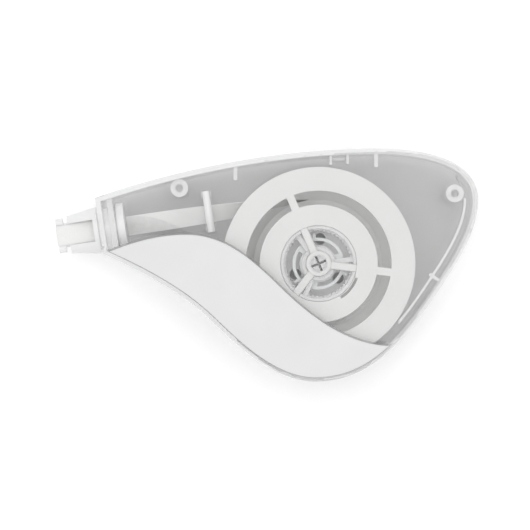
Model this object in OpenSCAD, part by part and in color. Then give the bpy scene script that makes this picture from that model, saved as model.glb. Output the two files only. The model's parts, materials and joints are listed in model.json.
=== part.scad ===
// Correction tape: a clear case with white grip panels, a supply reel and a take-up
// reel on one axle, a slip clutch between them and a swivelling applicator head.
// It lies on its back: X along the length, Z through the thickness. Millimetres.

/* [Tape] */
// Width of the correction tape and of its carrier film
tape_w = 4.2; // [3.4:0.1:5.2]
// Length of tape on the full reel, in metres
tape_len = 8.5; // [6:0.5:10.5]
// Thickness of one wound turn
turn_t = 0.048; // [0.04:0.002:0.058]
// Thickness at which a single layer is drawn
tape_t = 0.12; // [0.08:0.01:0.2]

/* [Supply reel] */
// Radius of the core the tape is wound on
core_r = 8; // [7.6:0.1:9.6]
// Wall of the core
core_wall = 0.8; // [0.6:0.1:1.2]
// How far the rear flange falls short of the front disc
flange_short = 0.5; // [0.3:0.1:4]
// Thickness of the reel flanges
flange_t = 0.6; // [0.5:0.1:0.9]
// Radius of the reel hub
hub_r = 3.2; // [2.8:0.1:4]
// Side play of the tape between its flanges
tape_play = 0.2; // [0.1:0.05:0.4]

/* [Take-up reel] */
// How much larger the take-up core is than the full pack
takeup_lead = 2.8; // [2:0.1:4]
// Depth of the film space outside the take-up core
film_depth = 4; // [3:0.1:5]
// Radial build of the used film shown on the core
film_build = 0.32; // [0.2:0.02:1]
// Thickness of the front disc
disc_t = 0.8; // [0.6:0.1:1.2]
// Width of the annular windows in the front disc
window_w = 2.9; // [1.5:0.1:3.4]
// Width of the spokes across the windows
spoke_w = 1.7; // [1:0.1:2.5]
// Width of the spokes that carry the centre boss
inner_spoke_w = 1.6; // [1:0.1:2.2]
// Direction of the first spoke
spoke_turn = 113; // [0:1:119]
// Radius of the centre boss
boss_r = 2.7; // [2.4:0.1:3]

/* [Clutch] */
// Radial thickness of the clear clutch ring, teeth included
ring_w = 1.3; // [1:0.1:1.8]
// Height of the ratchet teeth
tooth_h = 0.45; // [0.3:0.05:0.6]
// Number of ratchet teeth
teeth = 48; // [24:1:60]
// Height of the clutch ring below the disc
ring_h = 2.9; // [2.5:0.1:3.4]
// Length of the arc slot beside the clutch ring, in degrees
arc_slot = 37; // [20:1:60]
// Width of the arms of the clutch ring
arm_w = 1.1; // [0.8:0.1:1.6]
// Turn from a white spoke to the clutch arm beside it
arm_turn = 14; // [12:1:30]
// Thickness of the spring finger plate
spring_t = 1.2; // [0.8:0.1:1.4]

/* [Axle] */
// Radius of the axle
axle_r = 1.6; // [1.4:0.05:1.9]
// Width of the saw cuts in the axle end
axle_cut = 0.5; // [0.3:0.05:0.7]

/* [Case] */
// Wall of the clear shells
wall = 1.2; // [1:0.1:1.5]
// Outer wall line beyond the disc at the top
crown_gap = 3.9; // [3.2:0.1:6]
// Outer wall line beyond the disc on the right flank
flank_gap = 3.7; // [3.6:0.1:6]
// Outer wall line beyond the disc at the heel
heel_gap = 4.5; // [3.2:0.1:6]
// Outer wall line beyond the disc on the left of the belly
belly_gap = 4; // [3.2:0.1:6]
// Reach of the right shoulder beyond the disc
shoulder_gap = 13.35; // [11:0.1:16]
// Rounding of the rim
rim_r = 1.1; // [0.6:0.1:1.3]
// Distance of the face crease above the reel centre
crease_rise = 10.95; // [8:0.1:13]
// Slope of the face above the crease, in degrees
crease_slope = 4.5; // [2:0.5:6]
// Radius of the screwless pin bosses
pin_boss_r = 1.9; // [1.6:0.1:2.1]
// Radius of the bore in the pin bosses
pin_bore_r = 0.8; // [0.6:0.05:1]

/* [Grip panels] */
// Thickness of the white grip panels
grip_t = 0.6; // [0.4:0.05:0.65]
// Clear rim left round the panels
grip_rim = 0.85; // [0.6:0.05:1]
// Seam between a panel and its recess
grip_seam = 0.12; // [0.05:0.01:0.2]

/* [Applicator head] */
// Distance from the tip to the reel centre, along the head axis
tip_to_reel = 55; // [52:0.5:64]
// Tilt of the head axis, in degrees
head_tilt = 8.5; // [4:0.5:12]
// Half width of the tip
tip_half = 3.7; // [3.5:0.1:4]
// Half width of the bill behind the notches
bill_half = 4.05; // [3.8:0.05:4.4]
// Radius of the bill at the case
bill_r = 5.05; // [4.7:0.05:5.1]
// Radius of the neck that turns in the case
neck_r = 4.5; // [4:0.05:4.6]
// Radius of the collar that holds the head in
collar_r = 5.15; // [4.9:0.05:5.3]
// Where the case begins, from the tip
nose_u = 9.6; // [9:0.1:11]

/* [Fits] */
// Radial clearance of the reels on the axle
axle_fit = 0.06; // [0.03:0.01:0.1]
// Radial clearance of the neck in the case
neck_fit = 0.08; // [0.04:0.01:0.1]
// Clearance of pressed pins and tongues
press_fit = 0.05; // [0.03:0.01:0.08]
// Smallest gap between pieces that turn past each other
run_gap = 0.3; // [0.2:0.05:0.5]
// Gap between a tape run and the pack it comes off
tape_gap = 0.2; // [0.12:0.02:0.3]

/* [Hidden] */
$fn = 64;
eps = 0.02;

function unit(a) = [cos(a), sin(a)];
function turned(a, p) = [p[0]*cos(a) - p[1]*sin(a), p[0]*sin(a) + p[1]*cos(a)];

// Radii of the reels, all from the tape that has to go on them
pack_r = sqrt(core_r*core_r + tape_len*1000*turn_t/PI);
spool_r = pack_r + takeup_lead;
film_r = spool_r + film_build;
disc_r = spool_r + film_depth;
spool_wall = 0.6;
spigot_w = 0.5;
spigot_r = spool_r - spool_wall - press_fit;
window_out = spigot_r - spigot_w;
window_in = window_out - window_w;
ring_r = core_r + 0.1;
ring_in = ring_r - ring_w;
disc_bore = ring_r + press_fit;

// Levels through the thickness, from the parting plane at zero
mid_gap = run_gap;
spool_z = mid_gap + flange_t;
disc_z = spool_z + tape_w + 2*tape_play;
disc_top = disc_z + disc_t;
layer_z = spool_z + tape_play + tape_w/2;
hub_top = disc_z - ring_h - 0.1;
spring_z = hub_top;
ring_z = disc_z - 0.1 - ring_h;
arm_z = spring_z + spring_t + run_gap;
arm_top = disc_z - 0.1;
boss_z = spring_z + spring_t + run_gap;
boss_top = disc_top + 0.3;
crease_r = 300;
crease_turn = 92.4;
crease_at = (crease_r - crease_rise)*unit(crease_turn + 180);
crease_fall = (disc_r - crease_rise)*tan(crease_slope);
half_t = disc_top + run_gap + crease_fall + wall;

// Head frame: u from the tip into the case, v across, seen from the reel centre
axis_offset = pack_r + tape_gap + tape_t/2;
function head_pt(u, v) = turned(head_tilt, [u - tip_to_reel, v + axis_offset]);
tip = head_pt(0, 0);
nose_up = 6.85;
nose_down = 5.24;

// Case outline, clockwise from the nose: x, y, heading, handle in, handle out
flank_at = (disc_r + flank_gap)*unit(-34) - 9.6*unit(-124);
belly_at = (disc_r + belly_gap)*unit(225.5) + 7.2*unit(135.5);
nose_top = head_pt(nose_u, nose_up);
nose_low = head_pt(nose_u, -nose_down);
case_knots = [
  [nose_top[0], nose_top[1], 18.5, 0, 17],
  [12.5, disc_r + crown_gap, 0, 23, 14.5],
  [disc_r + shoulder_gap, 13.7, -90, 6.6, 6.5],
  [flank_at[0], flank_at[1], -124, 7.5, 10],
  [-0.7, -(disc_r + heel_gap), 180, 13, 8],
  [belly_at[0], belly_at[1], 135.5, 9, 9],
  [nose_low[0], nose_low[1], 156, 10, 0]];
// Upper edge of the grip panels, an S from the nose to the flank
grip_knots = [[-51.5, 0.1, 24, 0, 7], [-28.3, 6.6, 0, 9, 9.5],
  [-6.7, -6, -43.5, 8, 9], [15.5, -17.1, 0, 8, 4], [24.5, -15.9, 12, 4, 0]];

function bez(a, b, c, d, t) =
  (1-t)*(1-t)*(1-t)*a + 3*(1-t)*(1-t)*t*b + 3*(1-t)*t*t*c + t*t*t*d;
function on_leg(k, m, t) =
  let(a = [k[0], k[1]], d = [m[0], m[1]])
  let(b = a + k[4]*unit(k[2]), c = d - m[3]*unit(m[2])) bez(a, b, c, d, t);
function leg(k, m, n) = [for (i = [0:n-1]) on_leg(k, m, i/n)];
function route(knots, n) = let(e = knots[len(knots)-1])
  concat([for (j = [0:len(knots)-2]) each leg(knots[j], knots[j+1], n)], [[e[0], e[1]]]);
function right_of(a, b) = let(d = b - a) [d[1], -d[0]]/norm(d);
function inset(pts, d) = let(n = len(pts)) [for (i = [0:n-1])
  let(p = pts[(i+n-1)%n], q = pts[i], r = pts[(i+1)%n])
  let(a = right_of(p, q), b = right_of(q, r)) q + d*(a + b)/(1 + a*b)];

// Point at a distance inside one leg of the outline
function beside(j, t, d) =
  let(p = on_leg(case_knots[j], case_knots[j+1], t))
  p + d*right_of(p, on_leg(case_knots[j], case_knots[j+1], t + 0.01));

nose_mid = head_pt(nose_u, (nose_up - nose_down)/2);
outline = concat(route(case_knots, 11), [nose_mid]);
top_edge = [for (i = [0:22]) outline[i]];
function top_y(x) = lookup(x, top_edge);
grip_edge = route(grip_knots, 10);

// Faces: flat over the reels, falling to the nose and, above the crease, to the top rim
taper_x = -(disc_r + 2.8);
nose_half_t = collar_r + 1.1;
taper = (half_t - nose_half_t)/(taper_x - nose_top[0]);
function face_h(p) = min(half_t, half_t - taper*(taper_x - p[0]),
  half_t - (norm(p - crease_at) - crease_r)*tan(crease_slope));

// Head stations along u
tip_bar = 1.6;
notch = 1;
notch_half = 2.6;
bill_end = nose_u - run_gap;
collar_u = 13.5;
neck_end = 15.1;
run_u = neck_end + 0.1;
channel_half = tape_w/2 + 0.27;
tip_edge_r = 0.35;
plate_half = 1.1;
slot_top = 2.4;
head_z = plate_half + 0.04 + tape_t/2;

// Guides inside the case
pin_r = 0.85;
pin_u = 33.2;
pin_low = -4.05;
pin_high = 5;
post_r = 1.1;
post_at = head_pt(30, -6.4);
post_lane = post_r + 0.1 + tape_t/2;
film_lane = film_r + tape_gap + tape_t/2;
film_dive = 30;
tongue_t = 0.5;
tongue_h = 0.8;
bosses = [beside(0, 0.328, 3.09), [disc_r + shoulder_gap - 5, 15], beside(5, 0.405, 4.68)];
pegs = [beside(5, 0.665, 2.17), belly_at + 5.5*unit(45.5), [4, -(disc_r + 1.9)]];
peg_r = 0.8;
peg_len = 0.7;
ribs = [-17.8, 12.3];
tab_x = 4.4;
tab_half = 2.05;

// The origin is under the middle of the whole part
x_low = head_pt(0, tip_half)[0];
y_mid = (crown_gap - heel_gap)/2;
module place() {
  translate([-(x_low + disc_r + shoulder_gap)/2, -y_mid, half_t]) children();
}
module in_head() {
  translate([tip[0], tip[1], 0]) rotate([0, 0, head_tilt]) children();
}
module slab(pts, z0, z1) {
  translate([0, 0, z0]) linear_extrude(z1 - z0) polygon(pts);
}
module tube(r, hole, z0, z1) {
  translate([0, 0, z0]) difference() {
    cylinder(r = r, h = z1 - z0);
    translate([0, 0, -1]) cylinder(r = hole, h = z1 - z0 + 2);
  }
}
module rod(r, z0, z1) {
  translate([0, 0, z0]) cylinder(r = r, h = z1 - z0);
}

// Space inside the outer faces, d below them
module faces(d) {
  h = half_t - d;
  far = 40;
  k = tan(crease_slope);
  intersection() {
    rotate([90, 0, 0]) translate([0, 0, -50]) linear_extrude(100) polygon([
      [60, -h], [60, h], [taper_x, h], [taper_x - far, h - taper*far],
      [taper_x - far, taper*far - h], [taper_x, -h]]);
    translate([crease_at[0], crease_at[1], 0]) rotate_extrude($fn = 200) polygon([
      [0, -h - 1], [crease_r - 1/k, -h - 1], [crease_r + far, far*k - h],
      [crease_r + far, h - far*k], [crease_r - 1/k, h + 1], [0, h + 1]]);
  }
}

// Outside of the front half with its rounded rim, closed above the faces and trimmed to them
module outer_half() {
  steps = [[0, 1], [0.134, 0.5], [0.5, 0.134], [1, 0]];
  n = len(outline);
  rounded = [for (s = steps) for (p = inset(outline, s[0]*rim_r))
    [p[0], p[1], face_h(p) - s[1]*rim_r + (s[1] == 0 ? eps : 0)]];
  lid = [for (p = inset(outline, rim_r)) [p[0], p[1], half_t + 1]];
  pts = concat([for (p = outline) [p[0], p[1], 0]], rounded, lid);
  sides = [for (j = [0:4]) for (i = [0:n-1]) let(k = (i+1)%n) each
    [[j*n+i, j*n+k, (j+1)*n+k], [j*n+i, (j+1)*n+k, (j+1)*n+i]]];
  half = floor(n/2);
  lid_face = [for (i = [0:half-1]) each concat([[i, i+1, n-1-i]],
    i+1 < n-2-i ? [[i+1, n-2-i, n-1-i]] : [])];
  caps = [for (f = lid_face) each [[f[2], f[1], f[0]], [5*n+f[0], 5*n+f[1], 5*n+f[2]]]];
  intersection() {
    polyhedron(points = pts, faces = concat(sides, caps));
    faces(0);
  }
}
module cavity_half() {
  intersection() {
    slab(inset(outline, wall), -1, half_t);
    faces(wall);
  }
}
// Trims inner features so that they root in the wall
module rooted() {
  intersection() {
    intersection() {
      slab(inset(outline, wall/2), -half_t, half_t);
      faces(wall/2);
    }
    union() children();
  }
}
module grip_area(seam) {
  intersection() {
    polygon(inset(outline, grip_rim + seam));
    translate([0, -seam]) polygon(concat(grip_edge, [[30, -40], [-55, -40]]));
  }
}
module grip_recess() {
  difference() {
    linear_extrude(half_t + 2) grip_area(0);
    faces(grip_t);
  }
  for (p = pegs) translate([p[0], p[1], 0]) rod(peg_r + press_fit, 1, half_t);
}
module grip_half() {
  difference() {
    intersection() {
      linear_extrude(half_t) grip_area(grip_seam);
      faces(0);
    }
    faces(grip_t);
  }
  for (p = pegs) translate([p[0], p[1], 0])
    rod(peg_r, face_h(p) - wall - peg_len, face_h(p) - grip_t/2);
}
module neck_bore() {
  in_head() rotate([0, 90, 0]) rod(neck_r + neck_fit, nose_u - 3, collar_u + 1);
}
// Two walls that carry the neck: the nose end itself and a rib before the collar
module neck_rib() {
  in_head() translate([collar_u - run_gap - wall, -12, -half_t]) cube([wall, 24, 2*half_t]);
}
module tongue(t, h) {
  translate([0, 0, -eps]) intersection() {
    difference() {
      slab(inset(outline, wall - t), 0, h + eps);
      slab(inset(outline, wall), -1, h + 1);
    }
    translate([neck_end + tip[0] + 3, -40, -1]) cube([100, 80, h + 2]);
  }
}
module saddle(v) {
  in_head() translate([pin_u, v, 0]) difference() {
    translate([-1.5, -0.7, -half_t]) cube([3, 1.4, half_t + 0.4]);
    translate([0, 2, 0]) rotate([90, 0, 0]) rod(pin_r + press_fit, 0, 4);
    translate([-(pin_r + press_fit), -2, 0]) cube([2*(pin_r + press_fit), 4, 2]);
  }
}
module axle() {
  difference() {
    union() {
      rod(axle_r, -half_t, boss_top + 0.3);
      translate([0, 0, boss_top + 0.1]) cylinder(r1 = axle_r + 0.3, r2 = axle_r - 0.2, h = 0.5);
      rod(hub_r - 0.2, -half_t, -(layer_z + tape_w/2 + tape_play + flange_t + 0.1));
    }
    for (a = [0, 90]) rotate([0, 0, a + 23])
      translate([-3, -axle_cut/2, boss_top - 4]) cube([6, axle_cut, 6]);
  }
}

module rear_case() {
  color([0.93, 0.96, 0.97, 0.35]) difference() {
    union() {
      mirror([0, 0, 1]) difference() {
        outer_half();
        cavity_half();
      }
      rooted() {
        for (p = bosses) translate([p[0], p[1], 0])
          tube(pin_boss_r, pin_bore_r, -half_t, -0.05);
        translate([post_at[0], post_at[1], 0]) rod(post_r, -half_t, layer_z + tape_w/2 + 0.2);
        saddle(pin_high - 0.8);
        saddle(pin_low + 0.8);
        intersection() {
          neck_rib();
          translate([-80, -40, -half_t]) cube([80, 80, half_t]);
        }
        axle();
      }
      tongue(tongue_t, tongue_h);
      rooted() translate([tab_x - tab_half + 0.7, top_y(tab_x) - wall - 1, -4])
        cube([2*tab_half - 1.4, 0.6, 6.5]);
      rooted() translate([tab_x - tab_half + 0.7, top_y(tab_x) - wall - 1, -4])
        cube([2*tab_half - 1.4, 3, 3.9]);
    }
    neck_bore();
    mirror([0, 0, 1]) grip_recess();
  }
}

module front_case() {
  color([0.93, 0.96, 0.97, 0.35]) difference() {
    union() {
      difference() {
        outer_half();
        cavity_half();
        tongue(tongue_t + press_fit, tongue_h + 0.1);
      }
      rooted() {
        for (p = bosses) translate([p[0], p[1], 0]) rod(pin_boss_r, 0.05, half_t);
        intersection() {
          neck_rib();
          translate([-80, -40, 0]) cube([80, 80, half_t]);
        }
        for (x = ribs) translate([x - 0.4, top_y(x) - wall - 2.8, 1.2])
          cube([0.8, 4, half_t]);
        for (s = [-1, 1]) translate([tab_x + s*(tab_half - 0.25) - 0.25, top_y(tab_x) - 3.2, 1.2])
          cube([0.5, 3, half_t]);
        flank_rib();
      }
      for (p = bosses) translate([p[0], p[1], 0]) rod(pin_bore_r - press_fit, -4, 0.1);
    }
    neck_bore();
    grip_recess();
  }
}
// Inner rib that follows the right flank, with one bridge to the wall
module flank_rib() {
  translate([0, 0, half_t - wall - 3.5]) linear_extrude(4) intersection() {
    difference() {
      polygon(inset(outline, wall + 1.4));
      polygon(inset(outline, wall + 1.9));
    }
    translate([disc_r - 3.7, -17]) square([30, 31]);
  }
  translate([flank_at[0] - 2.2, flank_at[1] + 3.2, half_t - wall - 2.5])
    rotate([0, 0, -34]) cube([4, 0.7, 3]);
}
module front_grip() {
  color([0.93, 0.93, 0.93]) grip_half();
}
module rear_grip() {
  color([0.93, 0.93, 0.93]) mirror([0, 0, 1]) grip_half();
}
module guide_pin() {
  color([0.9, 0.92, 0.92, 0.7]) in_head() translate([pin_u, 0, 0]) rotate([-90, 0, 0])
    rod(pin_r, pin_low, pin_high);
}

// A ribbon through stations: position, heading in plan, twist
function strip(p, heading, twist) =
  let(n = [cos(heading + 90), sin(heading + 90), 0], z = [0, 0, 1])
  let(b = (cos(twist)*n + sin(twist)*z)*tape_w/2, m = (cos(twist)*z - sin(twist)*n)*tape_t/2)
  [p + b + m, p - b + m, p - b - m, p + b - m];
module ribbon(rings) {
  n = len(rings);
  // Both faces split along the same diagonal, so that they stay apart where the tape twists
  sides = [for (i = [0:n-2]) for (k = [0:3]) let(j = (k+1)%4) each k < 2
    ? [[4*i+k, 4*i+4+k, 4*i+4+j], [4*i+k, 4*i+4+j, 4*i+j]]
    : [[4*i+k, 4*i+4+k, 4*i+j], [4*i+4+k, 4*i+4+j, 4*i+j]]];
  polyhedron(points = [for (r = rings) each r],
    faces = concat([[0, 1, 2, 3]], sides, [[4*n-1, 4*n-2, 4*n-3, 4*n-4]]));
}
module supply_run() {
  n = 32;
  color([0.97, 0.97, 0.95]) ribbon([for (i = [0:n])
    let(t = i/n, c = head_pt(run_u + t*(tip_to_reel - run_u), 0))
    strip([c[0], c[1], -head_z - t*(layer_z - head_z)], head_tilt, 90*pow(t, 1.5))]);
}
module return_run() {
  a = head_pt(run_u, 0);
  dive = head_tilt - film_dive;
  e = post_at + post_lane*unit(dive + 90);
  s = (turned(-head_tilt, e - a)[1])/tan(-film_dive);
  bend = a + (turned(-head_tilt, e - a)[0] - s)*unit(head_tilt);
  reel = norm(post_at);
  out = atan2(-post_at[1], -post_at[0]) - asin((film_lane + post_lane)/reel);
  from = post_at + post_lane*unit(out + 90);
  to = film_lane*unit(out - 90);
  n = 20;
  first = [for (i = [0:n])
    let(t = i/n, p = (1-t)*(1-t)*a + 2*(1-t)*t*bend + t*t*e)
    let(d = (1-t)*(bend - a) + t*(e - bend))
    strip([p[0], p[1], head_z + t*(layer_z - head_z)], atan2(d[1], d[0]), 90*pow(t, 1.2))];
  round_post = [for (i = [1:5]) let(h = dive + (out - dive)*i/5)
    let(p = post_at + post_lane*unit(h + 90)) strip([p[0], p[1], layer_z], h, 90)];
  color([0.9, 0.92, 0.94, 0.6])
    ribbon(concat(first, round_post, [strip([to[0], to[1], layer_z], out, 90)]));
}

// Wedge that the tape slides over, grown by g, in the plane of u and z
module wedge(g, len) {
  translate([tip_edge_r, 0]) circle(r = tip_edge_r + g);
  polygon([[tip_edge_r, -tip_edge_r - g], [bill_end, -plate_half - g], [len, -plate_half - g],
    [len, plate_half + g], [bill_end, plate_half + g], [tip_edge_r, tip_edge_r + g]]);
}
module across(half) {
  translate([0, half, 0]) rotate([90, 0, 0]) linear_extrude(2*half) children();
}
module oval(half, r, u0, u1) {
  for (s = [-1, 1]) translate([0, s*(half - r), 0]) rotate([0, 90, 0]) rod(r, u0, u1);
  translate([u0, -(half - r), -r]) cube([u1 - u0, 2*(half - r), 2*r]);
}
module applicator_head() {
  color([0.9, 0.93, 0.92, 0.75]) in_head() {
    difference() {
      union() {
        oval(tip_half, 0.9, 0, tip_bar);
        oval(notch_half, 0.9, tip_bar - 0.1, tip_bar + notch + 0.1);
        hull() {
          oval(bill_half, 1.25, tip_bar + notch, tip_bar + notch + 0.3);
          rotate([0, 90, 0]) rod(bill_r, bill_end - 0.5, bill_end);
        }
        rotate([0, 90, 0]) rod(neck_r, bill_end - 0.2, collar_u + 0.2);
        rotate([0, 90, 0]) rod(collar_r, collar_u, neck_end);
      }
      across(channel_half) difference() {
        union() {
          translate([-2, -8]) square([bill_end + 1, 16]);
          translate([bill_end - 3, -slot_top]) square([neck_end, 2*slot_top]);
        }
        translate([1, 0]) wedge(0, neck_end + 4);
      }
    }
    across(channel_half + 0.1) wedge(0, neck_end);
  }
}
module head_tape() {
  color([0.97, 0.97, 0.95]) in_head() across(tape_w/2) difference() {
    wedge(0.04 + tape_t, neck_end);
    wedge(0.04, neck_end + 1);
  }
}

// Reels
module supply_core() {
  color([0.93, 0.94, 0.94]) difference() {
    union() {
      tube(core_r, core_r - core_wall, -(disc_z), -(spool_z - 0.3));
      rod(hub_r, -(disc_z + flange_t), hub_top);
      rod(core_r - 0.3, -(spool_z + 1.3), -(spool_z + 0.3));
      translate([-2.3, -2.3, hub_top - 0.1]) cube([4.6, 4.6, spring_t + 0.1]);
    }
    rod(axle_r + axle_fit, -half_t, half_t);
    for (a = [0:120:240]) rotate([0, 0, a + 85]) translate([5.4, 0, 0]) rod(1.2, -half_t, 0);
  }
}
module supply_flange() {
  color([0.93, 0.94, 0.94])
    tube(disc_r - flange_short, hub_r + press_fit, -(disc_z + flange_t), -disc_z);
}
module supply_tape() {
  color([0.98, 0.98, 0.97])
    tube(pack_r, core_r + 0.03, -(layer_z + tape_w/2), -(layer_z - tape_w/2));
}
// Plate with three spring fingers whose pawls ride on the ratchet teeth
module clutch_spring() {
  tip_r = ring_in - 0.15;
  color([0.88, 0.89, 0.89]) translate([0, 0, spring_z]) difference() {
    union() {
      cylinder(r = hub_r + 0.8, h = spring_t);
      for (a = [0:120:240]) rotate([0, 0, a + 20]) {
        translate([hub_r, -0.6, 0]) cube([2.4, 1.2, spring_t]);
        rotate_extrude(angle = 78) translate([hub_r + 1.7, 0]) square([0.7, spring_t]);
        rotate([0, 0, 76]) linear_extrude(spring_t)
          polygon([[hub_r + 1.7, -0.2], [tip_r, 0.1], [tip_r, 0.4], [hub_r + 1.7, 1]]);
      }
    }
    translate([-2.3 - press_fit, -2.3 - press_fit, -1])
      cube([4.6 + 2*press_fit, 4.6 + 2*press_fit, spring_t + 2]);
  }
}
module clutch_ring() {
  saw = [for (i = [0:teeth-1]) each [(ring_in + tooth_h)*unit(i*360/teeth),
    ring_in*unit((i + 0.85)*360/teeth)]];
  spider_r = ring_in + tooth_h + 0.2;
  color([0.92, 0.95, 0.96, 0.5]) {
    translate([0, 0, ring_z]) linear_extrude(arm_z - ring_z) difference() {
      circle(r = ring_r);
      polygon(saw);
    }
    difference() {
      tube(ring_r, spider_r, arm_z - 0.1, disc_top + 0.1);
      for (a = [0:120:240]) rotate([0, 0, spoke_turn + a])
        translate([0, -inner_spoke_w/2 - press_fit, arm_top])
          cube([ring_r + 2, inner_spoke_w + 2*press_fit, disc_t + 1]);
    }
    tube(boss_r + 0.9, boss_r + press_fit, arm_z, arm_top);
    for (a = [0:120:240]) rotate([0, 0, spoke_turn + arm_turn + a])
      translate([boss_r + 0.5, -arm_w/2, arm_z + 0.05])
        cube([spider_r - boss_r - 0.2, arm_w, arm_top - arm_z - 0.1]);
  }
}
module takeup_disc() {
  color([0.94, 0.94, 0.94]) {
    tube(disc_r, window_out, disc_z, disc_top);
    difference() {
      tube(window_in, disc_bore, disc_z, disc_top);
      rotate([0, 0, spoke_turn - 170]) rotate_extrude(angle = arc_slot)
        translate([disc_bore + 0.25, disc_z - 1]) square([0.55, disc_t + 2]);
    }
    tube(spigot_r, window_out, disc_z - 0.8, disc_z + 0.1);
    tube(boss_r, axle_r + axle_fit, boss_z, boss_top);
    for (a = [0:120:240]) rotate([0, 0, spoke_turn + a]) {
      translate([window_in - 0.2, -spoke_w/2, disc_z])
        cube([window_w + 0.4, spoke_w, disc_t]);
      translate([boss_r - 0.3, -inner_spoke_w/2, disc_z])
        cube([disc_bore - boss_r + 0.6, inner_spoke_w, disc_t]);
    }
  }
}
module takeup_spool() {
  color([0.94, 0.94, 0.94]) {
    tube(spool_r, spool_r - spool_wall, mid_gap, disc_z);
    tube(disc_r, spool_r - 0.2, mid_gap, spool_z);
  }
}
module takeup_film() {
  color([0.9, 0.92, 0.94, 0.6])
    tube(film_r, spool_r + 0.03, layer_z - tape_w/2, layer_z + tape_w/2);
}

place() {
  rear_case();
  front_case();
  rear_grip();
  front_grip();
  guide_pin();
  supply_run();
  return_run();
  applicator_head();
  head_tape();
  supply_core();
  supply_flange();
  supply_tape();
  clutch_spring();
  clutch_ring();
  takeup_disc();
  takeup_spool();
  takeup_film();
}
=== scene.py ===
"""Correction tape: the looks of its clear case, grips, head, tape and reels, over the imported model.

It lies on its back, seen square on from the front, in metres.
"""

import json
import math

import bmesh
import bpy
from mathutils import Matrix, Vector
from mathutils.geometry import interpolate_bezier, intersect_point_line


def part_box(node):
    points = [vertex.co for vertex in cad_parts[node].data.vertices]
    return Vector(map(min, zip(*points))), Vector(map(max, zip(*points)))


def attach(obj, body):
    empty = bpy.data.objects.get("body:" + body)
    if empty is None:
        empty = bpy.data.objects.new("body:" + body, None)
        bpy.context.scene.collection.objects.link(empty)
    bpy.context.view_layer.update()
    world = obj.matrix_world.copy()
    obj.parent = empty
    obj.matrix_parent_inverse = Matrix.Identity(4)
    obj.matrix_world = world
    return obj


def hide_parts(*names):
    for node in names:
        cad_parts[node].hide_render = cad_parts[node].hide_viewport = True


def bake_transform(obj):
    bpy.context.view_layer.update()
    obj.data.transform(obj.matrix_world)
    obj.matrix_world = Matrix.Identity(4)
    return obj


bl_info = {
    "name": "Correction tape",
    "version": (1, 0, 0),
    "blender": (4, 5, 0),
    "location": "View3D > Sidebar > Correction tape",
    "description": "Builds the pieces of a correction tape over its packed model",
    "category": "Add Mesh",
}

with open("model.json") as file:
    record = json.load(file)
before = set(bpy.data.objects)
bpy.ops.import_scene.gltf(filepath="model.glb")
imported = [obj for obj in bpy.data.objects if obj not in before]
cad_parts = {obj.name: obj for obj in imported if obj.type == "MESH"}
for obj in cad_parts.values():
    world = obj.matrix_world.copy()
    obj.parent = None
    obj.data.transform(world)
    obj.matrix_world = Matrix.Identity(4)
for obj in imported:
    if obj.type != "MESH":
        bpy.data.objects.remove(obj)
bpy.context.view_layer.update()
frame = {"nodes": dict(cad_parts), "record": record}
MM = 0.001
JOINT = {joint["name"]: joint for joint in frame["record"]["behaviour"]["joints"]}
REEL = Vector(JOINT["takeup_spin"]["pos_m"])
HEAD_AXIS = Vector(JOINT["head_swivel"]["axis"])
HEAD_SIDE = Vector((-HEAD_AXIS.y, HEAD_AXIS.x, 0))
HEAD_TILT = math.atan2(HEAD_AXIS.y, HEAD_AXIS.x)
# How far the swivel sits behind the tip, in mm
SWIVEL_U = 12
TIP = Vector(JOINT["head_swivel"]["pos_m"]) - SWIVEL_U * MM * HEAD_AXIS

# Case outline and upper grip edge, in mm: x, y, heading, handle before, handle after
CASE_KNOTS = (
    (-36.5275, 14.3922, 18.5, 0, 17), (23.9828, 24.9237, 0, 23, 14.5),
    (45.5565, 14.0, -90, 6.6, 6.5), (37.0992, -5.3988, -124, 7.5, 10),
    (10.7828, -24.9237, 180, 13, 8), (-10.9817, -12.2877, 135.5, 9, 9),
    (-34.7405, 2.4349, 156, 10, 0))
GRIP_KNOTS = (
    (-40.0172, 0.4, 24, 0, 7), (-16.8172, 6.9, 0, 9, 9.5), (4.7828, -5.7, -43.5, 8, 9),
    (26.9828, -16.8, 0, 8, 4), (35.9828, -15.6, 12, 4, 0), (41.5, -40, 0, 0, 0),
    (-43.5, -40, 0, 0, 0))
# The faces fall towards the nose from here, and above the crease towards the top rim
TAPER_X = -12.041
TAPER = 0.09471
CREASE = (23.5869, -288.4965)
CREASE_R = 300.0
CREASE_SLOPE = math.tan(math.radians(4.5))

# The sizes that follow are in mm, levels from the middle plane, radii from their own axis
# Front disc: bore, arc slot, windows and edge; levels; directions of its spokes and arc slot
DISC_BORE, ARC_IN, ARC_OUT, WINDOW_IN, WINDOW_OUT, DISC_R = (
    8.15, 8.4, 8.95, 12.674, 15.574, 20.724)
DISC_LOW, DISC_HIGH = 5.5, 6.3
SPOKE_TURNS = [math.radians(113 + turn) for turn in (0, 120, 240)]
ARC_FROM, ARC_TO = -57, -21
# Its boss on the axle, the inner spokes to it, and the spigot that holds the spool
BOSS_BORE, BOSS_R, BOSS_LOW, BOSS_HIGH = 1.66, 2.7, 4.0, 6.6
INNER_SPOKE_FROM, INNER_SPOKE_HALF = 2.5, 0.8
SPIGOT_R, SPIGOT_LOW, SPIGOT_HIGH = 16.074, 4.7, 5.49
# Take-up spool: bore, core, levels of its flange
SPOOL_BORE, SPOOL_R, SPOOL_LOW, SPOOL_FLANGE = 16.124, 16.724, 0.3, 0.9
# Thickness of the used film on it, and gap of the tape pack round its core
FILM_BUILD, PACK_FIT = 0.29, 0.03
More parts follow.
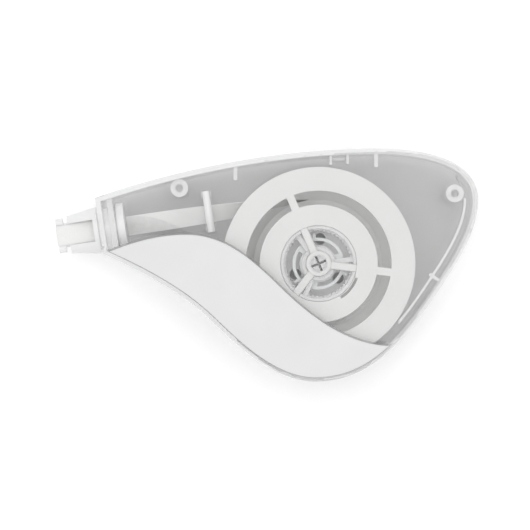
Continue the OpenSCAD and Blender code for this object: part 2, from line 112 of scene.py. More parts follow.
# Axle: foot, counted from the back; post and snap head; half its slot and where that starts
AXLE_FOOT = ((0, 0), (3.0, 0), (3.0, 2.2), (2.8, 2.37), (1.6, 2.37))
AXLE_HEAD = ((1.6, 6.7), (1.88, 6.72), (1.4, 7.2), (0, 7.2))
AXLE_SLOT_HALF, AXLE_SLOT_LOW, AXLE_SLOT_TURNS = 0.25, 2.6, (23, 113)
# Pin bosses: places; boss, pin, blind hole and socket radii; ends of the pins, floor of the
# blind holes, floor of the sockets counted from the back; half the parting of what meets there
PIN_PLACES = ((-18.3325, 16.4542), (40.5565, 15.3), (-17.0565, -1.555))
PIN_BOSS_R, PIN_R, PIN_HOLE_R, PIN_SOCKET_R = 1.9, 0.75, 0.85, 0.8
PIN_LOW, PIN_HIGH, PIN_HOLE_LOW, PIN_SOCKET_LOW = -4, 0.3, 3.6, 1.5
BOSS_PARTING, RIB_PARTING = 0.05, 0.02
# Ribs under the top wall: x, half width, length down, reach up into the wall
TOP_RIBS = ((-6.317, 0.4, 4.0, 0.3), (23.783, 0.4, 4.0, 0.3),
            (14.083, 0.25, 3.2, 0), (17.683, 0.25, 3.2, 0))
TOP_RIB_LOW = 1.2
# Neck, counted from the tip: its bore, the rib that it passes, and where its thin part starts
BORE_FROM, BORE_TO, BORE_R = 6.6, 14.5, 4.58
NECK_RIB_FROM, NECK_RIB_TO, NECK_RIB_HALF = 12, 13.2, 12
NECK_FROM = 9.2
# Flank rib: inset and width, levels below the front, and the box it is cut to; its tab
FLANK_INSET, FLANK_WIDTH, FLANK_LOW, FLANK_HIGH = 2.6, 0.5, 4.7, 0.7
FLANK_LEFT, FLANK_TOP, FLANK_BOTTOM = 28.5, 14.3, -16.7
TAB_PLACE, TAB_SIZE, TAB_TURN, TAB_LOW = (34.9, -2.2), (4, 0.7, 3), -34, 3.7
# Film post and guide-pin saddles, placed from the tip
POST_U, POST_V, POST_R, POST_HIGH = 30, -6.4, 1.1, 5.5
SADDLE_U, SADDLE_VS = 33.2, (-3.25, 4.2)
SADDLE_HALF, SADDLE_WIDTH_HALF, SADDLE_HIGH, SADDLE_GROOVE_R = 1.15, 0.7, 0.4, 0.9
# Snap tab of the rear shell: x, half width, levels, and its two sides below the outline
SNAP_X, SNAP_HALF, SNAP_LOW, SNAP_HIGH, SNAP_IN, SNAP_OUT = 15.883, 1.35, -4, 2.5, 2.2, 1.6
# Edges that turn more than this are rounded
SHARP = math.radians(38)

# Stage: lamp in metres, strength of the sky where it is seen, camera sensor in mm
LAMP_PLACE, LAMP_SIZE, LAMP_AIM = (-0.12, 0.2, 1.1), 1.1, Vector((0, 0, 0.008))
SKY_SEEN = 0.9
SENSOR = 36


def linear(code):
    """Linear colour of an sRGB hex value"""
    parts = [int(code[i:i + 2], 16) / 255 for i in (0, 2, 4)]
    return [c / 12.92 if c <= 0.04045 else ((c + 0.055) / 1.055) ** 2.4 for c in parts]


def head_point(u, v, z):
    """Point u behind the tip, v across and z above the middle plane, all in mm"""
    return TIP + (u * HEAD_AXIS + v * HEAD_SIDE + Vector((0, 0, z))) * MM


# Settings


def colour(name, code, description):
    return bpy.props.FloatVectorProperty(
        name=name, description=description, subtype="COLOR", size=3, min=0, max=1,
        default=linear(code))


def length(name, mm, description):
    return bpy.props.FloatProperty(
        name=name, description=description, default=mm * MM, min=0, unit="LENGTH", precision=5)


class CaseSettings(bpy.types.PropertyGroup):
    """Clear shells and grip panels"""
    clear: colour("Clear case", "FFFFFF", "Tint of the clear polystyrene shells")
    # The rear shell is tinted greyer than the front: painted shade, which darkens what is seen
    # through both shells
    rear_clear_painted_shade: colour("Rear clear", "EBEBEB", "Tint of the rear shell, in its own shade")
    wall: length("Wall", 1.2, "Wall of the clear shells")
    play: length("Feature play", 0.02, "Gap in which a feature is drawn clear of its wall")
    rim: length("Rim", 1.1, "Rounding of the shells' outer rim")
    rim_left: length("Clear rim", 0.85, "Clear rim left round the grip panels")
    grip_depth: length("Grip depth", 0.6, "Thickness of the grip panels")
    # The seam's grey tint is painted shade along the grip panel's edge
    seam_painted_shade: colour("Seam", "D0D0D0", "Tint of the recess floor, seen only in the seam")
    seam: length("Grip seam", 0.12, "Seam between a panel and its recess")
    sweep_gap: length("Sweep gap", 0.42, "Seam along the panel's S-shaped upper edge")
    grip: colour("Grip", "E5E5E5", "Colour of the white grip panels")
    grip_edge: length("Grip edge", 0.2, "Rounding of the grip panels' edges")


class HeadSettings(bpy.types.PropertyGroup):
    """Applicator head, guide pin and tape runs"""
    natural: colour("Head", "F8F9F8", "Colour of the milky head")
    # The neck's colour is lighter than the head's: painted light where the case shades it
    neck: colour("Neck", "FBFBFB", "Colour of the head's thin neck inside the case")
    pin_edge: length("Pin edge", 0.14, "Rounding of the guide pin's ends")
    tape: colour("Tape", "FBFBFA", "Colour of the correction tape")
    # The tape at the tip is a shade darker than the same tape in the case: painted shade
    tip_tape_painted_shade: colour("Tape at the tip", "F4F4F3", "Colour of the tape round the head's tip")
    pin: colour("Guide pin", "FBFBFB", "Polished guide pin")
    film: colour("Film", "F6F8F8", "Colour of the bare carrier film")


class ReelSettings(bpy.types.PropertyGroup):
    """Reels and clutch"""
    # The core is lighter than the reels: painted light on the deep hub, which lies in shade
    core: colour("Core", "FAFAFA", "Colour of the supply core")
    reel: colour("Reel", "E2E2E1", "Colour of the white reels")
    reel_edge: length("Reel edge", 0.14, "Rounding of the reels' edges")
    spoke: length("Spoke width", 1.7, "Width of the spokes across the windows")
    clutch: colour("Clutch ring", "FAFAFA", "Tint of the clear clutch ring")
    clutch_edge: length("Clutch edge", 0.06, "Rounding of the edges of clutch and spool")
    spring: colour("Spring plate", "E4E6E6", "Colour of the spring finger plate")
    turn_pitch: length("Turn pitch", 0.3, "Pitch at which the wound turns are drawn")


class StageSettings(bpy.types.PropertyGroup):
    """Floor, lamp and camera"""
    floor: colour("Floor", "F2F2F2", "Colour of the floor")
    glow: bpy.props.FloatProperty(
        name="Floor glow", description="Even white added to what the camera sees of the floor",
        default=0.26, min=0, max=1)
    sky: bpy.props.FloatProperty(
        name="Sky", description="Strength of the even light from all round", default=0.78, min=0)
    key: bpy.props.FloatProperty(
        name="Key lamp", description="Power of the large soft lamp above", default=3.4, min=0,
        unit="POWER")
    distance: length("Camera distance", 450, "From the camera to the middle of the object")
    view_width: length("View width", 115.0, "Width that the picture takes in at the middle")


# Materials


def add(tree, kind, settings=None, sockets=None):
    """Add a node, set it up, and fill or link its sockets"""
    made = tree.nodes.new(kind)
    for key, value in (settings or {}).items():
        setattr(made, key, value)
    for key, value in (sockets or {}).items():
        if isinstance(value, bpy.types.NodeSocket):
            tree.links.new(value, made.inputs[key])
        else:
            made.inputs[key].default_value = value
    return made


def start_material(name):
    """Empty material with its output and Object coordinates"""
    material = bpy.data.materials.get(name)
    if material:
        return material, None, None, None
    material = bpy.data.materials.new(name)
    material.use_nodes = True
    tree = material.node_tree
    tree.nodes.clear()
    output = add(tree, "ShaderNodeOutputMaterial")
    place = add(tree, "ShaderNodeTexCoord").outputs["Object"]
    return material, tree, output, place


def noise(tree, place, size_mm, detail=2.0, roughness=0.5):
    """Value of a noise whose spots have a size in mm"""
    made = add(tree, "ShaderNodeTexNoise", None, {
        "Vector": place, "Scale": 1 / (size_mm * MM), "Detail": detail, "Roughness": roughness})
    return made.outputs["Fac"]


def spread(tree, value, low, high, source=(0.3, 0.7)):
    """Value mapped from its source range to low and high"""
    made = add(tree, "ShaderNodeMapRange", None, {
        "Value": value, "From Min": source[0], "From Max": source[1],
        "To Min": low, "To Max": high})
    return made.outputs["Result"]


def raised(tree, height, strength, depth_mm):
    """Normal of a bump with a depth in mm"""
    made = add(tree, "ShaderNodeBump", None, {
        "Strength": strength, "Distance": depth_mm * MM, "Height": height})
    return made.outputs["Normal"]


def clouded(tree, base, tone):
    """Colour multiplied by a tone"""
    made = add(tree, "ShaderNodeMix", {"data_type": "RGBA", "blend_type": "MULTIPLY"}, {
        0: 1.0, 6: (*base, 1), 7: tone})
    return made.outputs[2]


def mixed(tree, share, first, second):
    """Two shaders, with the second one's share"""
    made = add(tree, "ShaderNodeMixShader", None, {0: share, 1: first, 2: second})
    return made.outputs["Shader"]


def clear_polystyrene(name, tint, haze, waves_mm, edge_tone=0.97):
    """Polished clear moulding: see-through face on, its own tone edge on, faint flow waves"""
    material, tree, output, place = start_material(name)
    if not tree:
        return material
    flow = noise(tree, place, waves_mm, detail=1.0, roughness=0.4)
    normal = raised(tree, flow, strength=0.06, depth_mm=0.05)
    # Real scuffs are some 0.05 mm wide; drawn at 0.6 mm so that they show
    scuff = noise(tree, place, 0.6, detail=3.0, roughness=0.6)
    rough = spread(tree, scuff, 0.03, 0.1, (0.45, 0.75))
    milk = add(tree, "ShaderNodeBsdfPrincipled", None, {
        "Base Color": (0.92, 0.92, 0.92, 1), "Roughness": rough, "IOR": 1.59, "Normal": normal})
    through = add(tree, "ShaderNodeBsdfTransparent", None, {"Color": (*tint, 1)})
    cloudy = mixed(tree, haze, through.outputs["BSDF"], milk.outputs["BSDF"])
    # Walls seen edge on mirror the room and turn bright; a low edge tone dims that reflection as
    # painted shade
    shine = add(tree, "ShaderNodeBsdfAnisotropic", None, {
        "Color": (edge_tone, edge_tone, edge_tone, 1), "Roughness": rough, "Normal": normal})
    edge = add(tree, "ShaderNodeLayerWeight", None, {"Blend": 0.5})
    edge = add(tree, "ShaderNodeMath", {"operation": "POWER"}, {0: edge.outputs["Facing"], 1: 4.0})
    share = spread(tree, edge.outputs[0], 0.012, 0.9, (0.0, 1.0))
    tree.links.new(mixed(tree, share, cloudy, shine.outputs["BSDF"]), output.inputs["Surface"])
    return material


def moulded_white(name, base, grain_mm, depth_mm, rough):
    """Opaque white moulding: fine eroded grain, slight clouding of the colour, soft gloss"""
    material, tree, output, place = start_material(name)
    if not tree:
        return material
    grain = noise(tree, place, grain_mm)
    tone = spread(tree, noise(tree, place, 9), 0.97, 1.0)
    body = add(tree, "ShaderNodeBsdfPrincipled", None, {
        "Base Color": clouded(tree, base, tone), "IOR": 1.5,
        "Roughness": spread(tree, grain, rough - 0.05, rough + 0.05),
        "Normal": raised(tree, grain, strength=0.35, depth_mm=depth_mm)})
    tree.links.new(body.outputs["BSDF"], output.inputs["Surface"])
    return material


def white_polystyrene(reel):
    """The white of both reels, made once"""
    return moulded_white("white_moulded_polystyrene", reel.reel, grain_mm=0.4, depth_mm=0.01,
                         rough=0.32)


def natural_polypropylene(name, base):
    """Milky unpigmented moulding: light soaks in a little way, the surface has a waxy gloss"""
    material, tree, output, place = start_material(name)
    if not tree:
        return material
    cloud = noise(tree, place, 3)
    body = add(tree, "ShaderNodeBsdfPrincipled", None, {
        "Base Color": (*base, 1), "Roughness": spread(tree, cloud, 0.28, 0.4), "IOR": 1.49,
        "Subsurface Weight": 0.5, "Subsurface Radius": (1.0, 1.0, 1.0),
        "Subsurface Scale": 1.2 * MM, "Transmission Weight": 0.08,
        "Normal": raised(tree, cloud, strength=0.1, depth_mm=0.05)})
    tree.links.new(body.outputs["BSDF"], output.inputs["Surface"])
    return material


def correction_coat(name, base):
    """Chalky pigment coat on film: matt, very fine mottle"""
    material, tree, output, place = start_material(name)
    if not tree:
        return material
    # The pigment is some 0.02 mm; drawn at 0.25 mm so that it shows
    chalk = noise(tree, place, 0.25, detail=3.0, roughness=0.6)
    body = add(tree, "ShaderNodeBsdfPrincipled", None, {
        "Base Color": clouded(tree, base, spread(tree, chalk, 0.95, 1.0)),
        "Roughness": 0.6, "IOR": 1.5,
        "Normal": raised(tree, chalk, strength=0.15, depth_mm=0.02)})
    tree.links.new(body.outputs["BSDF"], output.inputs["Surface"])
    return material


def release_film(name, base, haze):
    """Bare carrier film: thin, clear and a little milky, with a silicone sheen"""
    material, tree, output, place = start_material(name)
    if not tree:
        return material
    streak = noise(tree, place, 1.5)
    milk = spread(tree, streak, haze - 0.03, haze + 0.03)
    body = add(tree, "ShaderNodeBsdfPrincipled", None, {
        "Base Color": (*base, 1), "Roughness": spread(tree, streak, 0.2, 0.3), "IOR": 1.5})
    through = add(tree, "ShaderNodeBsdfTransparent", None, {"Color": (0.995, 0.995, 0.995, 1)})
    tree.links.new(mixed(tree, milk, through.outputs["BSDF"], body.outputs["BSDF"]),
                   output.inputs["Surface"])
    return material


# Modelling


def deselect():
    """Leave edit mode and select nothing"""
    if bpy.context.object and bpy.context.object.mode != "OBJECT":
        bpy.ops.object.mode_set(mode="OBJECT")
    bpy.ops.object.select_all(action="DESELECT")


def take_up(piece):
    """Make one object the selected and active one"""
    deselect()
    piece.select_set(True)
    bpy.context.view_layer.objects.active = piece


def join_into(whole, parts):
    """Join loose parts to a piece, in order, without cutting them"""
    take_up(whole)
    for part in parts:
        part.select_set(True)
    bpy.ops.object.join()


def apply_modifier(piece, kind, **settings):
    """Add a modifier with its settings and apply it"""
    take_up(piece)
    bpy.ops.object.modifier_add(type=kind)
    modifier = piece.modifiers[-1]
    for key, value in settings.items():
        setattr(modifier, key, value)
    bpy.ops.object.modifier_apply(modifier=modifier.name)


def refine(node, edge):
    """Copy of a CAD node, merged, with its flat faces joined and its edges rounded"""
    source = frame["nodes"][node]
    piece = source.copy()
    piece.data = source.data.copy()
    piece.parent = None
    piece.name = piece.data.name = node + "_look"
    bpy.context.scene.collection.objects.link(piece)
    piece.matrix_world.identity()
    piece.data.materials.clear()
    take_up(piece)
    bpy.ops.mesh.customdata_custom_splitnormals_clear()
    bpy.ops.object.mode_set(mode="EDIT")
    bpy.ops.mesh.select_all(action="SELECT")
    bpy.ops.mesh.remove_doubles(threshold=0.001 * MM)
    bpy.ops.mesh.dissolve_limited(angle_limit=math.radians(0.2))
    bpy.ops.object.mode_set(mode="OBJECT")
    if edge > 0:
        apply_modifier(piece, "BEVEL", width=edge, segments=2, limit_method="ANGLE",
                       angle_limit=SHARP, use_clamp_overlap=False,
                       loop_slide=False)
    soften(piece)
    return piece


def soften(piece, angle=42):
    """Smooth shading that keeps the flat faces flat"""
    take_up(piece)
    bpy.ops.object.shade_smooth_by_angle(angle=math.radians(angle))
    apply_modifier(piece, "WEIGHTED_NORMAL", keep_sharp=True, weight=60)


def settle(piece, material, body, slot, *nodes):
    """Give a finished piece its material and body, and hide the nodes it stands for; its slot is not
    used
    """
    piece.data.materials.clear()
    piece.data.materials.append(material)
    if body:
        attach(piece, body)
    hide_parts(*nodes)


def wound(name, core, outer, low, high, pitch, depth):
    """Wound pack about the reel centre: its two sides ridged turn by turn, spun round"""
    # Share of a turn's width that falls away at each of its edges
    shoulder = 0.2
    turns = max(2, round((outer - core) / pitch))
    step = (outer - core) / turns
    profile = [(core, low)]
    for side, inward in ((low, depth), (high, -depth)):
        rim = [core + step * i for i in range(turns + 1)]
        if side == high:
            rim.reverse()
        for a, b in zip(rim, rim[1:]):
            profile += [(a * (1 - shoulder) + b * shoulder, side),
                        (a * shoulder + b * (1 - shoulder), side), (b, side + inward)]
        profile[-1] = (rim[-1], side)
        if side == low:
            profile.append((outer, high))
    piece = lathe(name, profile + profile[:1], 96)
    soften(piece, 30)
    return piece


def lathe(name, profile, steps):
    """Line of radius and level, spun once round the reel centre"""
    deselect()
    bpy.ops.mesh.primitive_plane_add(size=0.001, location=(0, 0, 0))
    piece = bpy.context.object
    piece.name = piece.data.name = name
    bpy.ops.object.mode_set(mode="EDIT")
    bpy.ops.mesh.select_mode(type="VERT")
    bpy.ops.mesh.merge(type="CENTER")
    bpy.ops.transform.translate(value=(REEL.x + profile[0][0], REEL.y, profile[0][1]))
    for (r0, z0), (r1, z1) in zip(profile, profile[1:]):
        bpy.ops.mesh.extrude_region_move(
            TRANSFORM_OT_translate={"value": (r1 - r0, 0, z1 - z0)})
    bpy.ops.mesh.select_all(action="SELECT")
    bpy.ops.mesh.spin(steps=steps, angle=math.tau, center=REEL, axis=(0, 0, 1))
    bpy.ops.mesh.select_all(action="SELECT")
    bpy.ops.mesh.remove_doubles(threshold=0.0005 * MM)
    bpy.ops.mesh.normals_make_consistent(inside=False)
    bpy.ops.object.mode_set(mode="OBJECT")
    return piece


def round_edges(piece, width):
    """Round every edge that turns sharply, then shade"""
    apply_modifier(piece, "BEVEL", width=width, segments=2, limit_method="ANGLE",
                   angle_limit=SHARP, use_clamp_overlap=False)
    soften(piece)
    return piece


def slotted_disc(name, reel):
    """Front disc: flat rings spun, cut along the spokes, windows and arc slot taken out"""
    low, high = REEL.z + DISC_LOW * MM, REEL.z + DISC_HIGH * MM
    rings = (DISC_BORE, ARC_IN, ARC_OUT, WINDOW_IN, WINDOW_OUT, DISC_R)
    piece = lathe(name, [(r * MM, low) for r in rings], 120)
    bpy.ops.object.mode_set(mode="EDIT")
    for turn in SPOKE_TURNS:
        across = Vector((-math.sin(turn), math.cos(turn), 0))
        for side in (-1, 1):
            bpy.ops.mesh.select_all(action="SELECT")
            bpy.ops.mesh.bisect(plane_co=REEL + across * side * reel.spoke / 2, plane_no=across)
    bpy.ops.mesh.select_mode(type="FACE")
    bpy.ops.mesh.select_all(action="DESELECT")
    mesh = bmesh.from_edit_mesh(piece.data)
    for face in mesh.faces:
        at = (face.calc_center_median() - REEL).xy
        ring = at.length / MM
        on_spoke = any(
            abs(at.y * math.cos(turn) - at.x * math.sin(turn)) < reel.spoke / 2
            and at.x * math.cos(turn) + at.y * math.sin(turn) > 0 for turn in SPOKE_TURNS)
        in_arc = ARC_FROM < math.degrees(math.atan2(at.y, at.x)) < ARC_TO
        window = WINDOW_IN < ring < WINDOW_OUT and not on_spoke
        slot = ARC_IN < ring < ARC_OUT and in_arc
        face.select = window or slot
    bmesh.update_edit_mesh(piece.data)
    bpy.ops.mesh.delete(type="FACE")
    bpy.ops.mesh.select_all(action="SELECT")
    bpy.ops.mesh.extrude_region_move(TRANSFORM_OT_translate={"value": (0, 0, high - low)})
    bpy.ops.mesh.select_all(action="SELECT")
    bpy.ops.mesh.normals_make_consistent(inside=False)
    bpy.ops.object.mode_set(mode="OBJECT")
    hub = [lathe("boss", tube_line(BOSS_BORE, BOSS_R, BOSS_LOW, BOSS_HIGH), 64),
           lathe("spigot", tube_line(WINDOW_OUT, SPIGOT_R, SPIGOT_LOW, SPIGOT_HIGH), 120)]
    for turn in SPOKE_TURNS:
        hub.append(bar((INNER_SPOKE_FROM * MM, -INNER_SPOKE_HALF * MM, 0),
                       (DISC_BORE * MM, INNER_SPOKE_HALF * MM, high - low), turn,
                       (REEL.x, REEL.y, low)))
    join_into(piece, hub)
    return round_edges(piece, reel.reel_edge)


def tube_line(inner, outer, low, high):
    """Closed line of a tube's section, in mm from the reel axis and the middle plane"""
    corners = ((inner, low), (outer, low), (outer, high), (inner, high), (inner, low))
    return [(r * MM, REEL.z + z * MM) for r, z in corners]


def flat_face(name, knots, shrink=0.0):
    """Flat face inside a closed line through the knots, in the middle plane, shrunk all round"""
    deselect()
    bpy.ops.curve.primitive_bezier_curve_add(location=(0, 0, 0))
    piece = bpy.context.object
    piece.name = piece.data.name = name
    spline = piece.data.splines[0]
    spline.bezier_points.add(len(knots) - 2)
    for knot, (x, y, heading, before, after) in zip(spline.bezier_points, knots):
        along = Vector((math.cos(math.radians(heading)), math.sin(math.radians(heading)), 0)) * MM
        knot.handle_left_type = knot.handle_right_type = "FREE"
        knot.co = (x * MM, y * MM, REEL.z)
        knot.handle_left = knot.co - along * before
        knot.handle_right = knot.co + along * after
    spline.use_cyclic_u = True
    spline.resolution_u = 22
    bpy.ops.object.convert(target="MESH")
    piece = bpy.context.object
    bpy.ops.object.mode_set(mode="EDIT")
    bpy.ops.mesh.select_mode(type="VERT")
    bpy.ops.mesh.select_all(action="SELECT")
    bpy.ops.mesh.remove_doubles(threshold=0.12 * MM)
    bpy.ops.mesh.edge_face_add()
    bpy.ops.mesh.select_mode(type="FACE")
    if shrink > 0:
        bpy.ops.mesh.inset(thickness=shrink, use_even_offset=True)
        bpy.ops.mesh.select_all(action="INVERT")
        bpy.ops.mesh.delete(type="FACE")
    bpy.ops.object.mode_set(mode="OBJECT")
    return piece


def thicken(piece, low, high):
    """Extrude a flat face in the middle plane between two levels"""
    take_up(piece)
    bpy.ops.object.mode_set(mode="EDIT")
    bpy.ops.mesh.select_all(action="SELECT")
    bpy.ops.transform.translate(value=(0, 0, low - REEL.z))
    bpy.ops.mesh.extrude_region_move(TRANSFORM_OT_translate={"value": (0, 0, high - low)})
    bpy.ops.mesh.select_all(action="SELECT")
    bpy.ops.mesh.normals_make_consistent(inside=False)
    bpy.ops.object.mode_set(mode="OBJECT")
    return piece


def cut(piece, tool, kind):
    """Boolean of two pieces, the second used up"""
    apply_modifier(piece, "BOOLEAN", object=tool, operation=kind, solver="EXACT")
    bpy.data.objects.remove(tool)
    return piece


def slice_off(piece, place, normal):
    """Cut away what lies on the normal's side of a plane, and close the cut"""
    take_up(piece)
    bpy.ops.object.mode_set(mode="EDIT")
    bpy.ops.mesh.select_all(action="SELECT")
    bpy.ops.mesh.bisect(plane_co=place, plane_no=normal, use_fill=True, clear_outer=True)
    bpy.ops.mesh.select_all(action="SELECT")
    bpy.ops.mesh.normals_make_consistent(inside=False)
    bpy.ops.object.mode_set(mode="OBJECT")
    return piece


def trim_to_face(piece, depth):
    """Trim a front piece to the outer faces, less a depth"""
    # The cone of the crown reaches this far below and above the face, in mm
    below, above = 17, 1
    top = 2 * REEL.z - depth
    slice_off(piece, (0, 0, top), (0, 0, 1))
    slice_off(piece, (TAPER_X * MM, 0, top), (-TAPER, 0, 1))
    deselect()
    bpy.ops.mesh.primitive_cone_add(
        vertices=512, radius1=(CREASE_R + below / CREASE_SLOPE) * MM,
        radius2=(CREASE_R - above / CREASE_SLOPE) * MM, depth=(below + above) * MM,
        location=(CREASE[0] * MM, CREASE[1] * MM, top - (below - above) / 2 * MM))
    crown = bpy.context.object
    bpy.ops.object.transform_apply(location=True, rotation=True, scale=True)
    return cut(piece, crown, "INTERSECT")


def front_block(name, shrink, depth, below=0.0):
    """Solid between the middle plane and the front face, shrunk and lowered"""
    piece = flat_face(name, CASE_KNOTS, shrink)
    thicken(piece, REEL.z - below, 2 * REEL.z + MM)
    return trim_to_face(piece, depth)


def mirrored(piece, name):
    """Copy mirrored in the middle plane"""
    other = piece.copy()
    other.data = piece.data.copy()
    other.name = other.data.name = name
    bpy.context.scene.collection.objects.link(other)
    take_up(other)
    bpy.ops.object.mode_set(mode="EDIT")
    bpy.ops.mesh.select_all(action="SELECT")
    bpy.ops.transform.resize(value=(1, 1, -1), center_override=(0, 0, REEL.z))
    bpy.ops.mesh.flip_normals()
    bpy.ops.object.mode_set(mode="OBJECT")
    return other


def flipped(piece, name):
    """The piece itself, mirrored in the middle plane"""
    other = mirrored(piece, name)
    bpy.data.objects.remove(piece)
    return other


def half_shell(name, case):
    """Front half: outside with its rim rounded, hollowed to the wall"""
    # Each half starts this far from the middle plane
    parting = 0.01 * MM
    shell = front_block(name, 0, 0, -parting)
    take_up(shell)
    bpy.ops.object.mode_set(mode="EDIT")
    bpy.ops.mesh.select_mode(type="EDGE")
    bpy.ops.mesh.select_all(action="DESELECT")
    mesh = bmesh.from_edit_mesh(shell.data)
    # The rim runs where a steep side wall meets a nearly level face
    for edge in mesh.edges:
        rises = sorted(face.normal.z for face in edge.link_faces)
        high = min(vert.co.z for vert in edge.verts) > REEL.z + 2 * MM
        if high and len(rises) == 2 and abs(rises[0]) < 0.3 and rises[1] > 0.9:
            edge.select = True
    mesh.select_flush_mode()
    bmesh.update_edit_mesh(shell.data)
    bpy.ops.mesh.bevel(offset=case.rim, segments=7, affect="EDGES", clamp_overlap=False)
    bpy.ops.object.mode_set(mode="OBJECT")
    cut(shell, front_block("hollow", case.wall, case.wall, MM), "DIFFERENCE")
    return cut(shell, neck_bore(), "DIFFERENCE")


def grip_area(name, case, seam, gap):
    """Prism over the place of a front grip panel, less its seam and the gap along its top"""
    area = flat_face(name, CASE_KNOTS, case.rim_left + seam)
    thicken(area, REEL.z + 3 * MM, 2 * REEL.z + MM)
    sweep = flat_face("sweep", [(x, y - gap / MM, *rest) for x, y, *rest in GRIP_KNOTS])
    return cut(area, thicken(sweep, REEL.z, 2 * REEL.z + 2 * MM), "INTERSECT")


def grip_recess(case, rear):
    """What is taken out of a shell for its grip panel"""
    recess = grip_area("recess", case, 0, 0)
    cut(recess, front_block("under", 0, case.grip_depth, MM), "DIFFERENCE")
    return flipped(recess, "rear_recess") if rear else recess


def grip_panel(name, case):
    """White panel that fills the recess but for its seam, just clear of the recess floor"""
    lift = 0.03 * MM
    panel = trim_to_face(grip_area(name, case, case.seam, case.sweep_gap), 0)
    return cut(panel, front_block("under", 0, case.grip_depth - lift, MM), "DIFFERENCE")


def bar(low, high, turn=0.0, pivot=(0, 0, 0)):
    """Bar between two corners about a pivot, turned in plan"""
    deselect()
    middle = (Vector(low) + Vector(high)) / 2
    bpy.ops.mesh.primitive_cube_add(size=1, location=middle)
    piece = bpy.context.object
    piece.scale = Vector(high) - Vector(low)
    bpy.ops.object.transform_apply(location=True, rotation=True, scale=True)
    piece.rotation_euler.z = turn
    piece.location = pivot
    bpy.ops.object.transform_apply(location=True, rotation=True, scale=True)
    apply_modifier(piece, "BEVEL", width=0.08 * MM, segments=2, limit_method="ANGLE")
    return piece


def rod(x, y, radius, low, high, edge=0.1):
    """Upright rod with a small round at its ends, its radius and round in mm"""
    deselect()
    bpy.ops.mesh.primitive_cylinder_add(vertices=48, radius=radius * MM, depth=high - low,
                                        location=(x, y, (low + high) / 2))
    bpy.ops.object.transform_apply(location=True, rotation=True, scale=True)
    piece = bpy.context.object
    if edge > 0:
        apply_modifier(piece, "BEVEL", width=edge * MM, segments=2, limit_method="ANGLE")
    return piece


def lying_rod(start, end, radius):
    """Rod between two points of the middle plane, its radius in mm"""
    deselect()
    along = end - start
    bpy.ops.mesh.primitive_cylinder_add(
        vertices=64, radius=radius * MM, depth=along.length, location=(start + end) / 2,
        rotation=along.to_track_quat("Z", "Y").to_euler())
    bpy.ops.object.transform_apply(location=True, rotation=True, scale=True)
    return bpy.context.object


def merged(name, parts):
    """Parts that overlap, as one solid"""
    whole = parts[0]
    for part in parts[1:]:
        cut(whole, part, "UNION")
    whole.name = whole.data.name = name
    return whole


def neck_bore():
    """Rod taken out of the shells and ribs for the head's neck"""
    return lying_rod(head_point(BORE_FROM, 0, 0), head_point(BORE_TO, 0, 0), BORE_R)


def neck_rib(low, high):
    """Rib across the case ahead of the head's collar, between two levels about the middle plane"""
    rib = bar((NECK_RIB_FROM * MM, -NECK_RIB_HALF * MM, low),
              (NECK_RIB_TO * MM, NECK_RIB_HALF * MM, high), HEAD_TILT, (TIP.x, TIP.y, REEL.z))
    return cut(rib, neck_bore(), "DIFFERENCE")


def top_line(x):
    """Height of the outline's upper edge at x, in mm"""
    first, second = CASE_KNOTS[:2]
    start, end = (Vector(knot[:2]) for knot in (first, second))
    leave, arrive = (Vector((math.cos(math.radians(knot[2])), math.sin(math.radians(knot[2]))))
                     for knot in (first, second))
    line = interpolate_bezier(start, start + leave * first[4], end - arrive * second[3], end, 200)
    return min(line, key=lambda point: abs(point.x - x)).y


def front_features(case):
    """Pins on their bosses, ribs under the top wall, flank rib and neck rib of the front shell"""
    middle, top = REEL.z, 2 * REEL.z
    parts = [rod(x * MM, y * MM, PIN_BOSS_R, middle + BOSS_PARTING * MM, top)
             for x, y in PIN_PLACES]
    for x, half, drop, reach in TOP_RIBS:
        edge = top_line(x)
        parts.append(bar(((x - half) * MM, (edge - drop) * MM, middle + TOP_RIB_LOW * MM),
                         ((x + half) * MM, (edge + reach) * MM, top)))
    parts.append(neck_rib(RIB_PARTING * MM, middle))
    flank = flat_face("flank", CASE_KNOTS, FLANK_INSET * MM)
    take_up(flank)
    bpy.ops.object.mode_set(mode="EDIT")
    bpy.ops.mesh.select_all(action="SELECT")
    bpy.ops.mesh.inset(thickness=FLANK_WIDTH * MM, use_even_offset=True)
    bpy.ops.mesh.delete(type="FACE")
    bpy.ops.object.mode_set(mode="OBJECT")
    thicken(flank, top - FLANK_LOW * MM, top - FLANK_HIGH * MM)
    slice_off(flank, (FLANK_LEFT * MM, 0, 0), (-1, 0, 0))
    slice_off(flank, (0, FLANK_TOP * MM, 0), (0, 1, 0))
    slice_off(flank, (0, FLANK_BOTTOM * MM, 0), (0, -1, 0))
    parts.append(flank)
    parts.append(bar((0, 0, 0), Vector(TAB_SIZE) * MM, math.radians(TAB_TURN),
                     (TAB_PLACE[0] * MM, TAB_PLACE[1] * MM, top - TAB_LOW * MM)))
    whole = cut(merged("front_parts", parts),
                front_block("room", case.wall + case.play, case.wall + case.play), "INTERSECT")
    for x, y in PIN_PLACES:
        cut(whole, rod(x * MM, y * MM, PIN_HOLE_R, middle + PIN_HOLE_LOW * MM, top, 0),
            "DIFFERENCE")
        cut(whole, rod(x * MM, y * MM, PIN_R, middle + PIN_LOW * MM, middle + PIN_HIGH * MM, 0.2),
            "UNION")
    return whole


